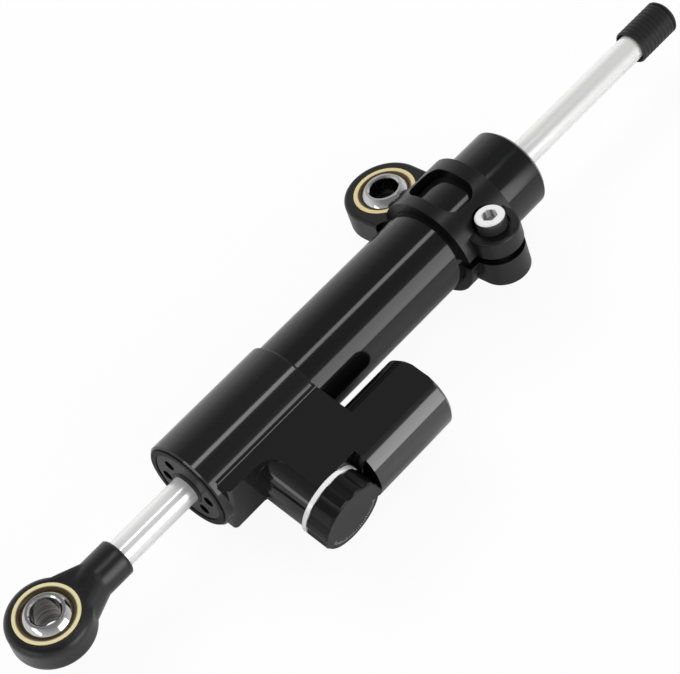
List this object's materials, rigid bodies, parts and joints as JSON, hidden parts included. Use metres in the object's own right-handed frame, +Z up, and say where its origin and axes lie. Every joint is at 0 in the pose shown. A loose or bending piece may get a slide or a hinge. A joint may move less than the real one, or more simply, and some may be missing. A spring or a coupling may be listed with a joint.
{
  "type": "steering_damper",
  "caption": "Black adjustable motorcycle steering damper with a through rod, side reservoir, click knob, split clamp and two spherical bearings",
  "frame": {"origin": "centre of the rod end's ball", "axes": "+X along the rod from the rod end to the rubber stop, +Z up with the reservoir level beside the barrel, -Y toward the adjusting knob"},
  "size_m": [0.2589, 0.072, 0.031],
  "materials": {
    "black_anodised": "satin black anodised",
    "bare_aluminium": "turned, bare",
    "black_steel": "gloss black",
    "chromed_steel": "ground and hard chromed",
    "bearing_steel": "polished",
    "plated_steel": "bright zinc plated",
    "spring_steel": "dark oiled",
    "race_brass": "machined, pale",
    "bearing_bronze": "sintered, matt",
    "seal_rubber": "matt",
    "stop_rubber": "ribbed, matt",
    "ptfe": "plain"
  },
  "bodies": {
    "damper_body": {"valve_body": "black_anodised", "outer_tube": "black_anodised", "inner_tube": "bare_aluminium", "tube_o_ring": "seal_rubber", "near_gland": "black_anodised", "near_wiper": "seal_rubber", "near_rod_seal": "seal_rubber", "near_bush": "bearing_bronze", "near_gland_o_ring": "seal_rubber", "far_gland": "black_anodised", "far_wiper": "seal_rubber", "far_rod_seal": "seal_rubber", "far_bush": "bearing_bronze", "far_gland_o_ring": "seal_rubber", "reservoir_cap": "black_anodised", "reservoir_cap_o_ring": "seal_rubber", "reservoir_clip": "spring_steel", "compensator_spring": "spring_steel", "adjuster_collar": "bare_aluminium", "collar_o_ring": "seal_rubber", "spindle_clip": "spring_steel", "detent_ball": "bearing_steel", "detent_spring": "spring_steel"},
    "piston_seal": {"piston_band": "ptfe", "piston_o_ring": "seal_rubber"},
    "rod": {"piston_rod": "chromed_steel", "piston": "bare_aluminium", "piston_near_clip": "spring_steel", "piston_far_clip": "spring_steel", "rod_end_housing": "black_steel", "rod_end_race": "race_brass", "rod_stop": "stop_rubber"},
    "rod_ball": {"rod_end_ball": "bearing_steel"},
    "clamp_body": {"clamp": "black_anodised", "clamp_race": "race_brass", "pinch_bolt": "plated_steel"},
    "clamp_ball_body": {"clamp_ball": "bearing_steel"},
    "knob": {"adjuster_knob": "black_anodised", "knob_grub_screw": "spring_steel", "adjuster_spindle": "bearing_steel", "spindle_o_ring": "seal_rubber"},
    "needle_body": {"needle": "bearing_steel"},
    "floater": {"floating_piston": "bare_aluminium", "floating_piston_o_ring": "seal_rubber"}
  },
  "joints": [
    {"name": "rod_slide", "type": "slide", "parent": "damper_body", "child": "piston_seal", "axis": [1, 0, 0], "range_m": [-0.0525, 0.024]},
    {"name": "rod_spin", "type": "hinge", "parent": "piston_seal", "child": "rod", "pos_m": [0, 0, 0], "axis": [1, 0, 0], "continuous": true},
    {"name": "rod_end_swivel", "type": "hinge", "parent": "rod", "child": "rod_ball", "pos_m": [0, 0, 0], "axis": [0, 0.1392, 0.9903], "continuous": true},
    {"name": "clamp_shift", "type": "slide", "parent": "damper_body", "child": "clamp_body", "axis": [1, 0, 0], "range_m": [-0.036, 0.012]},
    {"name": "clamp_swivel", "type": "hinge", "parent": "clamp_body", "child": "clamp_ball_body", "pos_m": [0.1521, 0.02142, -0.00655], "axis": [0, 0.2924, 0.9563], "continuous": true},
    {"name": "knob_turn", "type": "hinge", "parent": "damper_body", "child": "knob", "pos_m": [0.0698, 0, 0], "axis": [0, -1, 0], "range_deg": [-240, 300]},
    {"name": "needle_travel", "type": "slide", "parent": "knob", "child": "needle_body", "axis": [0, -1, 0], "range_m": [-0.00051, 0.00064]},
    {"name": "floater_travel", "type": "slide", "parent": "damper_body", "child": "floater", "axis": [1, 0, 0], "range_m": [-0.002, 0.002], "stiffness_N_per_m": 2000, "deforming": ["compensator_spring"]}
  ],
  "couplings": [
    {"joint": "needle_travel", "follows": "knob_turn", "m_per_rad": 0.00011937}
  ]
}
